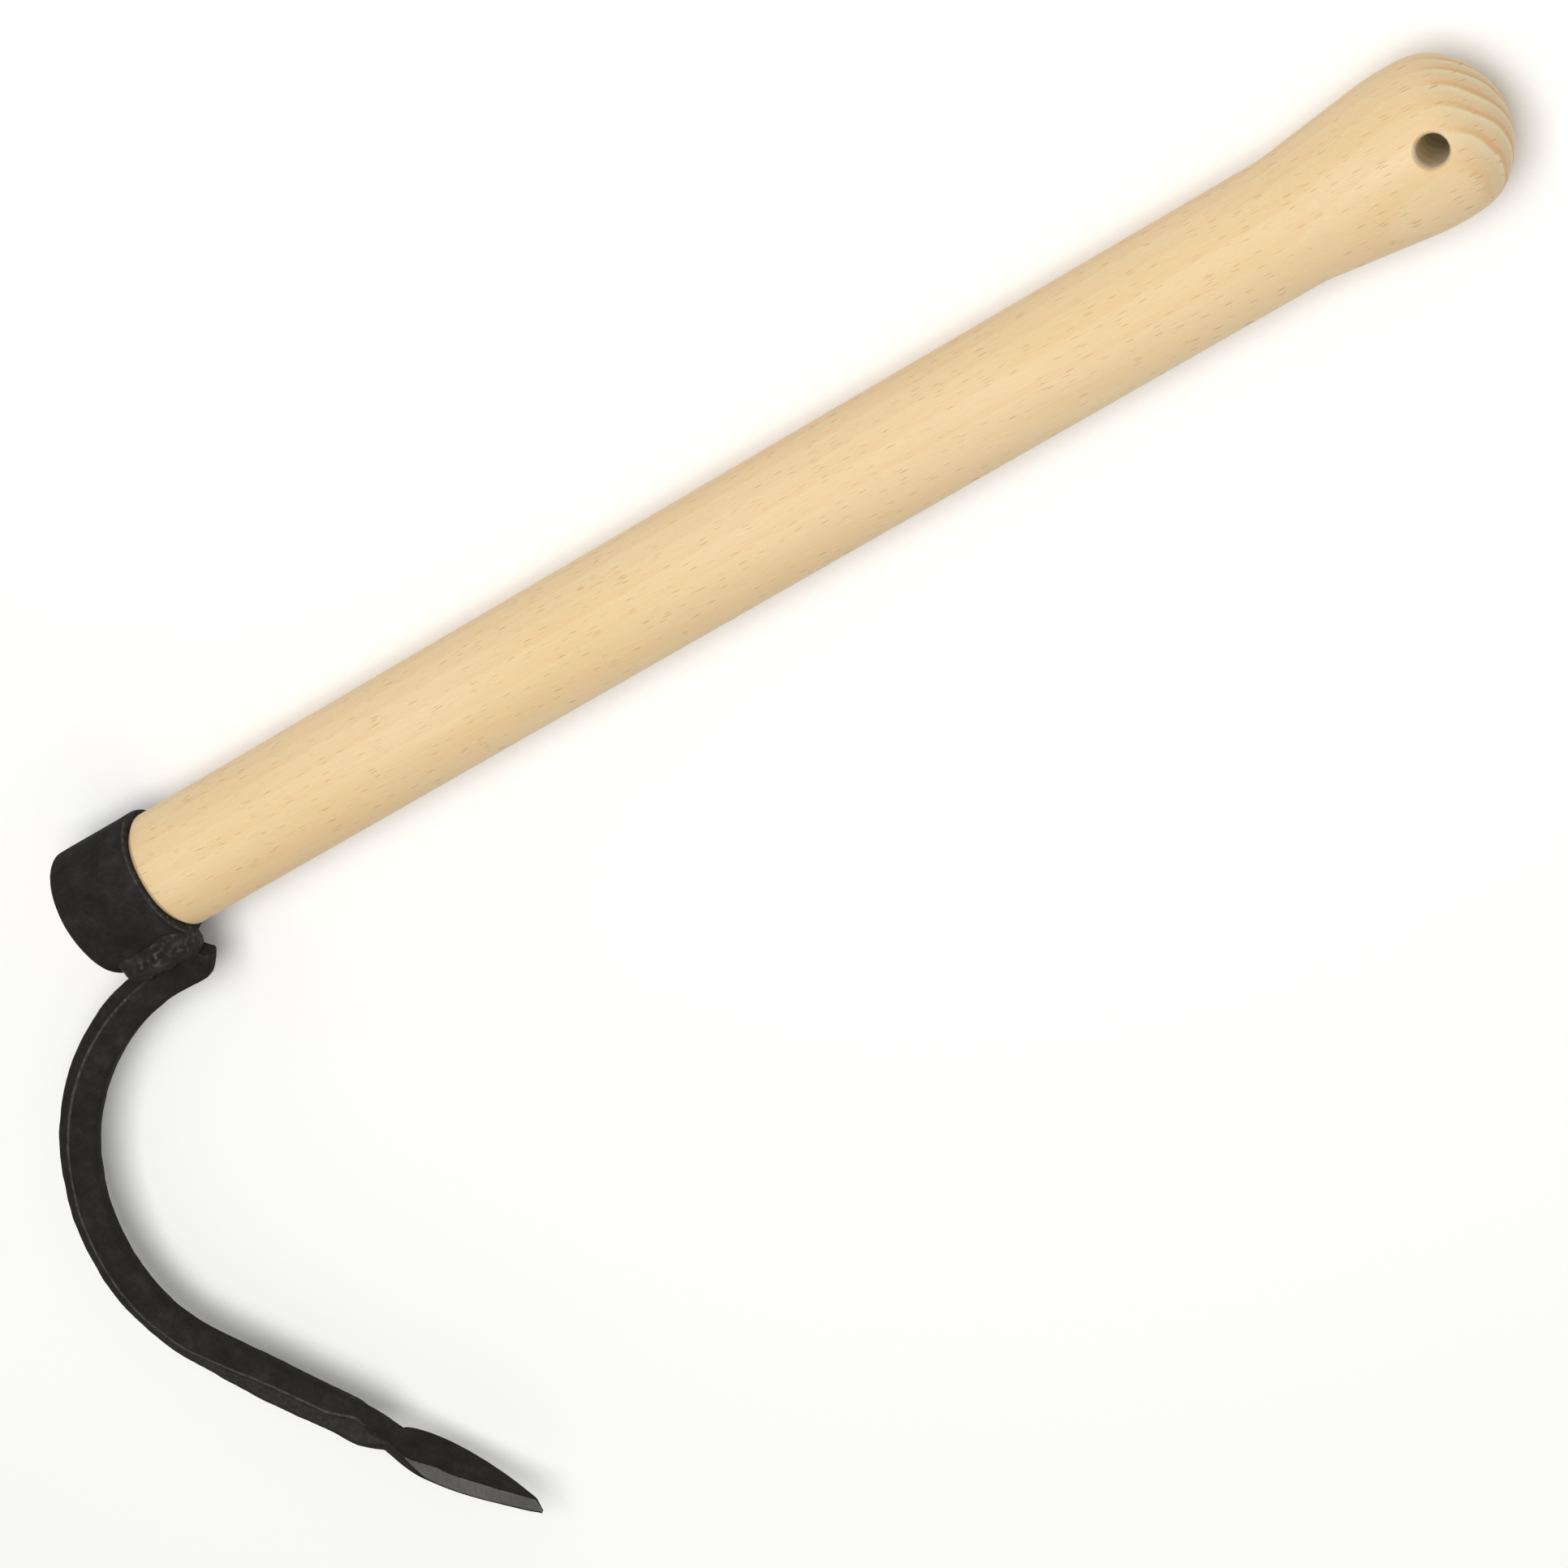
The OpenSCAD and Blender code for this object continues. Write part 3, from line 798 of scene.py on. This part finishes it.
def corners_at(s):
    drawn = ease(((s - twist_from) / TWIST - DRAWN_LATE) / (1 - DRAWN_LATE))
    grind = ease(((s - blade_from) / BLADE - GRIND_LATE) / GRIND_RISE)
    neck = clamped((s - twist_from + NECK_LEAD) / TWIST)
    swing = ease((s - second_from) / (twist_from - second_from)) * (1 - drawn)
    bulge = LEG_BULGE * sin(pi * clamped((s - leg_from + BULGE_LEAD)
                                         / (LEG + BULGE_LEAD)))
    rounding = max(1 - (s - END_AT) / END_ROUND, 0)
    inset = END_ROUND * (1 - sqrt(1 - rounding ** 2))

    edge_w, back_w = halves_at(s, bulge, inset)
    full = edge_w + back_w
    leaf_t = mix(2 * EDGE_T, BLADE_T, ease((tip_at - s) / GRIND_W))
    h = mix(BAR_T, leaf_t, drawn) / 2 - inset

    bevel_w, bevel_t = mix(BEVEL_W, FORGED, drawn), mix(BEVEL_T, FORGED, drawn)
    open_w = (bevel_w + SWING_W * swing + BULGE_BEVEL * bulge
              + NECK_BEVEL * sin(pi * neck) ** 2)
    narrow = mix(GRIND_TIP, 1, ease((tip_at - s - TIP_PLAIN) / TIP_FADE))
    ground_w = GRIND_W * narrow + wander_at(s)
    top_w = min(mix(open_w, ground_w, grind), BEVEL_MOST * full)
    top_t = mix(bevel_t + SWING_T * swing, 2 * h - EDGE_T, grind)
    low_w = min(bevel_w, LOW_MOST * full)
    low_t = mix(BEVEL_T, EDGE_T / 4, drawn)
    round_w = min(mix(INNER_ROUND, LEAF_ROUND_W, drawn), ROUND_MOST * full)
    round_t = min(mix(INNER_ROUND, LEAF_ROUND_T, drawn), ROUND_DEEP * h)

    thinned = TIP_ONE_SIDED * (BLADE_T / 2 - h) * (s > blade_from)
    set_in = BLADE_SET * drawn - thinned
    crisp = mix(BAR_CRISP, LEAF_CRISP, max(drawn, grind))
    flat = [(edge_w, h - top_t), (edge_w - top_w, h), (-back_w, h),
            (-back_w, -h), (edge_w - low_w, -h), (edge_w, -h + low_t)]
    soft = [(crisp, crisp), (crisp, crisp), (round_w, round_t),
            (round_t, round_w), (crisp, crisp), (crisp, crisp)]
    return [Vector((w, t + set_in)) for w, t in flat], soft, grind, drawn


print("corners half-way along the leg:",
      [tuple(round(v, 1) for v in c) for c in corners_at(leg_from + LEG / 2)[0]])

# %% [markdown]
# Each corner is rounded by a short row of points, and the sides between get
# points too, so that hammer marks have something to move. Every section has
# the same number of points in the same order, because an extruded face keeps
# the order of its corners. Each point also carries two numbers for the
# materials: how much grey its paint gets, from rubbed paint and from painted
# highlights on the ridges and the bevel, and whether it lies on the grind.

# %% Round the corners and set the section up
BETWEEN = (6, 11, 3, 11, 6, 3)
ROUND_STEPS = (4, 4, 6, 6, 4, 4)
SIDE_SHARE = 0.48  # two rounds on one side never quite meet
# grey on corners and on the bevel: rubbed paint, and painted highlight lines on the ridges
# and a lighter bevel
CORNER_RUB_AND_HIGHLIGHT = (0.3, 0.85, 0.0, 0.0, 0.85, 0.3)
BEVEL_RUB_AND_HIGHLIGHT = (0.28, 0.0, 0.0, 0.0, 0.0, 0.2)
# next to the ring little touches the bar, and the rubbed grey and painted highlights end
# before the leaf
RUB_AND_HIGHLIGHT_BY_RING, RUB_AND_HIGHLIGHT_FADE, RUB_AND_HIGHLIGHT_ENDS = 0.3, 30, 3
GROUND_FROM = 0.01


def rounded(corners, soft):
    rows = []
    for i, corner in enumerate(corners):
        back = corners[i - 1] - corner
        ahead = corners[(i + 1) % 6] - corner
        start = corner + back * min(soft[i][0] / back.length, SIDE_SHARE)
        stop = corner + ahead * min(soft[i][1] / ahead.length, SIDE_SHARE)
        shares = [k / ROUND_STEPS[i] for k in range(ROUND_STEPS[i] + 1)]
        rows.append([mix(mix(start, corner, t), mix(corner, stop, t), t)
                     for t in shares])
    return rows


# how grey each point is: rubbed paint and painted highlights
def rub_and_highlight_at(s, i, count, grind, drawn):
    by_ring = mix(RUB_AND_HIGHLIGHT_BY_RING, 1, ease((s - TANG) / RUB_AND_HIGHLIGHT_FADE))
    rubbed_and_highlit = (1 - ease(RUB_AND_HIGHLIGHT_ENDS * drawn)) * by_ring * CORNER_RUB_AND_HIGHLIGHT[i]
    on_leg = BEVEL_RUB_AND_HIGHLIGHT[i] * (1 - grind) * ease((s - second_from) / LEG)
    return ([rubbed_and_highlit * (0 < k < count - 1) for k in range(count)]
            + [on_leg] * BETWEEN[i])


def section_at(s):
    corners, soft, grind, drawn = corners_at(s)
    rows = rounded(corners, soft)
    ground_here = 1.0 if grind > GROUND_FROM else 0.0
    points, rubs_and_highlights, grinds = [], [], []
    for i, row in enumerate(rows):
        beyond = rows[(i + 1) % 6][0]
        points += row + [mix(row[-1], beyond, k / (BETWEEN[i] + 1))
                         for k in range(1, BETWEEN[i] + 1)]
        rubs_and_highlights += rub_and_highlight_at(s, i, len(row), grind, drawn)
        grinds += [0.0] * (len(row) - 1)
        grinds += [ground_here if i == 0 else 0.0] * (1 + BETWEEN[i])
    first_of_second = ROUND_STEPS[0] + 1 + BETWEEN[0]
    grinds[first_of_second] = ground_here

    angle = radians(LEG_TURN * ease((s - leg_from) / LEG)
                    + (90 - LEG_TURN) * ease((s - twist_from) / TWIST))
    middle, outward = middle_at(s), toward(outward_at(s))
    placed = []
    for w, t in points:
        across = w * cos(angle) - t * sin(angle)
        at = middle + across * outward
        placed.append(Vector((at.x, at.y, w * sin(angle) + t * cos(angle))) * MM)
    return placed, rubs_and_highlights, grinds


print("points in a section:", len(section_at(END_AT)[0]))

# %% Draw the bar out, station by station
END_ROWS = (0.0, 0.04, 0.15, END_ROUND)
BAR_STEP, TWIST_STEP, LEAF_STEP, TIP_STEP, TIP_L = 0.8, 0.5, 0.6, 0.25, 4


def stations(start, stop, spacing):
    count = ceil((stop - start) / spacing)
    return [mix(start, stop, i / count) for i in range(1, count + 1)]


rows_at = ([END_AT + step for step in END_ROWS]
           + stations(END_AT + END_ROUND, twist_from, BAR_STEP)
           + stations(twist_from, blade_from, TWIST_STEP)
           + stations(blade_from, tip_at - TIP_L, LEAF_STEP)
           + stations(tip_at - TIP_L, tip_at, TIP_STEP))
tine = bmesh.new()
wear_and_highlight = tine.verts.layers.float.new("edge_wear_and_highlight")
ground = tine.verts.layers.float.new("ground")


def write(verts, section):
    for vert, point, worn_and_highlit, bare in zip(verts, *section):
        vert.co, vert[wear_and_highlight], vert[ground] = point, worn_and_highlit, bare


start_verts = [tine.verts.new() for _ in section_at(END_AT)[0]]
write(start_verts, section_at(rows_at[0]))
cap = tine.faces.new(start_verts)
for s in rows_at[1:]:
    cap = bmesh.ops.extrude_discrete_faces(tine, faces=[cap])["faces"][0]
    write(cap.verts, section_at(s))
tine.faces.new(reversed(start_verts))
bmesh.ops.recalc_face_normals(tine, faces=tine.faces)
for face in tine.faces:
    if min(v[ground] for v in face.verts) > 0.5:
        face.material_index = 1
print("sections:", len(rows_at), "ground faces:",
      sum(f.material_index for f in tine.faces))

# %% [markdown]
# A hammered and dipped bar isn't smooth. Broad shallow hollows come from the
# hammer and small ones from scale. A bump in the material would shade them
# but leave the outline ruled, so the points of the mesh are moved. The marks
# fade on the thin blade and leave the ground edge alone.

# %% Hammer marks
TIP_MARKS, MARKS_RISE, MARKS_LATE = 0.25, 1.4, 0.1
tine_tip = Vector((*middle_at(tip_at), 0)) * MM


def forged_share(vert):
    from_tip = (vert.co - tine_tip).length / (BLADE * MM)
    marks = mix(TIP_MARKS, 1.0, ease(from_tip / MARKS_RISE - MARKS_LATE))
    return marks * (1.0 - vert[ground])


roughened(tine, amount=0.22, size=9.0, keep=forged_share)
roughened(tine, amount=0.10, size=3.0, keep=forged_share)
roughened(tine, amount=0.05, size=1.2, keep=forged_share)
finish_piece("hook_tine", tine, [forged_paint, ground_steel], "tine", 35)

# %% [markdown]
# ## The welds
#
# A weld is metal that froze in puddles, each laid over the edge of the last,
# from the front of the ring to its rim in the corner between ring and bar. A
# swept fillet would be too even. So spheres of slightly different sizes,
# squeezed along the seam, stand in a row, a voxel remesh fuses them into one
# skin, and smoothing and noise give the frozen metal. What would lie deep in
# the ring and the bar is cut away with a plane. The bead on the hidden side
# has one puddle fewer and stops short of the rim. Small specks, gathered in
# patches, are painted glints: they are stored with the rubbed edges, and the
# paint turns lighter there as painted highlights.

# %% Lay the welds
# toe on the ring, heel on the bar, both as y and z
TOE, HEEL = Vector((-12.1, 10.9)), Vector((-20.3, 3.0))
# each puddle is its place along the seam and its radius
NEAR_PUDDLES = [(-365.2, 7.5), (-362.2, 7.3), (-359.0, 7.6),
                (-355.7, 7.2), (-352.6, 7.9)]
FAR_PUDDLES = [(-365.2, 7.3), (-362.1, 7.0), (-359.3, 6.9), (-356.4, 6.2)]
VOXEL, SQUEEZE, SEAT_R, KEPT_DEEP, MELTS = 0.3, 0.62, 7.4, 3.2, 9
# painted glints: patches of this size, and specks inside them
GLINT_PATCH, GLINT_PATCH_BASE, GLINT_PATCH_GAIN = 4.5, 0.3, 1.6
GLINT, GLINT_GAIN = 1.1, 1.8

chord = (TOE - HEEL).normalized()
inward = Vector((chord.y, -chord.x))
if inward.y > 0:
    inward = -inward
half_chord = (TOE - HEEL).length / 2
seat = (TOE + HEEL) / 2 + inward * sqrt(SEAT_R ** 2 - half_chord ** 2)
deep = (TOE + HEEL) / 2 + inward * KEPT_DEEP


def weld(side, puddles):
    bm = bmesh.new()
    for x, r in puddles:
        place = Matrix.Translation(Vector((x, seat.x, seat.y * side)) * MM)
        bmesh.ops.create_uvsphere(
            bm, u_segments=48, v_segments=24, radius=r * MM,
            matrix=place @ Matrix.Diagonal((SQUEEZE, 1, 1, 1)))
    lumps = new_object("lumps", bm)
    fuse = lumps.modifiers.new("fuse", "REMESH")
    fuse.mode, fuse.voxel_size = "VOXEL", VOXEL * MM
    bm = baked(lumps)
    bmesh.ops.bisect_plane(
        bm, geom=bm.verts[:] + bm.edges[:] + bm.faces[:], clear_outer=True,
        plane_co=Vector((0, deep.x, deep.y * side)) * MM,
        plane_no=Vector((0, inward.x, inward.y * side)))
    for _ in range(MELTS):
        bmesh.ops.smooth_vert(bm, verts=bm.verts, factor=0.5, use_axis_x=True,
                              use_axis_y=True, use_axis_z=True)
    bmesh.ops.holes_fill(bm, edges=[e for e in bm.edges if e.is_boundary], sides=0)
    bmesh.ops.recalc_face_normals(bm, faces=bm.faces)
    roughened(bm, amount=0.6, size=3.8)
    roughened(bm, amount=0.08, size=1.2)
    wear_and_highlight = bm.verts.layers.float.new("edge_wear_and_highlight")
    # painted highlights: glint specks in patches, stored with the rubbed edges
    for vert in bm.verts:
        glint_patch = GLINT_PATCH_BASE + GLINT_PATCH_GAIN * noise.noise(vert.co / (GLINT_PATCH * MM))
        glint = GLINT_GAIN * noise.noise(vert.co / (GLINT * MM))
        vert[wear_and_highlight] = min(max(glint_patch, 0) * max(glint, 0), 1)
    return bm


for name, node, side, puddles in (
        ("weld_bead_near", "weld_near", 1, NEAR_PUDDLES),
        ("weld_bead_far", "weld_far", -1, FAR_PUDDLES)):
    finish_piece(name, weld(side, puddles), [weld_paint], node, 60)

# %% [markdown]
# ## Floor and light
#
# The tool lies on a white sheet, as small goods are photographed for a
# catalogue. A sun would give hard shadows and a burnt line along the grip. So
# a large softbox hangs over the middle of the tool, a little to the camera's
# side, and the upper faces are the brightest while round parts darken gently
# to their edges. A white sky fills the rest.

# %% Floor, softbox and sky
KEY_AWAY, KEY_SIZE, KEY_POWER, SKY_POWER = 1.5, 0.9, 18.0, 0.35
SHEET_HALF, PAPER_GRAIN = 3.0, 1.5

# Matt paper: it takes a soft shadow and shows no highlight of its own.
sheet, tree = new_material("matt_white_paper_sweep")
fibre = add(tree, "ShaderNodeTexNoise", {
    "Vector": add(tree, "ShaderNodeTexCoord", {}).outputs["Object"],
    "Scale": 1 / (PAPER_GRAIN * MM), "Detail": 2.0})
relief = add(tree, "ShaderNodeBump", {
    "Height": fibre.outputs["Fac"], "Distance": 0.01 * MM})
shader = add(tree, "ShaderNodeBsdfPrincipled", {
    "Base Color": linear("#FCFCFB"), "Roughness": 0.9, "Specular IOR Level": 0.1,
    "Normal": relief.outputs["Normal"]})
add(tree, "ShaderNodeOutputMaterial", {"Surface": shader.outputs["BSDF"]})

bm = bmesh.new()
bmesh.ops.create_grid(bm, x_segments=1, y_segments=1, size=SHEET_HALF)
bmesh.ops.translate(bm, vec=(0, 0, cad_box[0][2]), verts=bm.verts)
floor_piece = new_object("floor", bm)
floor_piece.data.materials.append(sheet)

sky = bpy.data.worlds.new("sky")
sky.use_nodes = True
glow = sky.node_tree.nodes["Background"]
glow.inputs["Color"].default_value = linear("#FFFFFF")
glow.inputs["Strength"].default_value = SKY_POWER
scene.world = sky

middle = (Vector(cad_box[0]) + Vector(cad_box[1])) / 2
toward_key = Vector((0.08, 0.16, 0.984))
softbox_data = bpy.data.lights.new("key_softbox", "AREA")
softbox_data.shape = "SQUARE"
softbox_data.size = KEY_SIZE
softbox_data.energy = KEY_POWER
softbox = bpy.data.objects.new("key_softbox", softbox_data)
softbox.location = middle + toward_key * KEY_AWAY
softbox.rotation_euler = toward_key.to_track_quat("Z", "Y").to_euler()
scene.collection.objects.link(softbox)
scene.view_settings.view_transform = "Standard"
print("softbox at", [round(v, 2) for v in softbox.location])
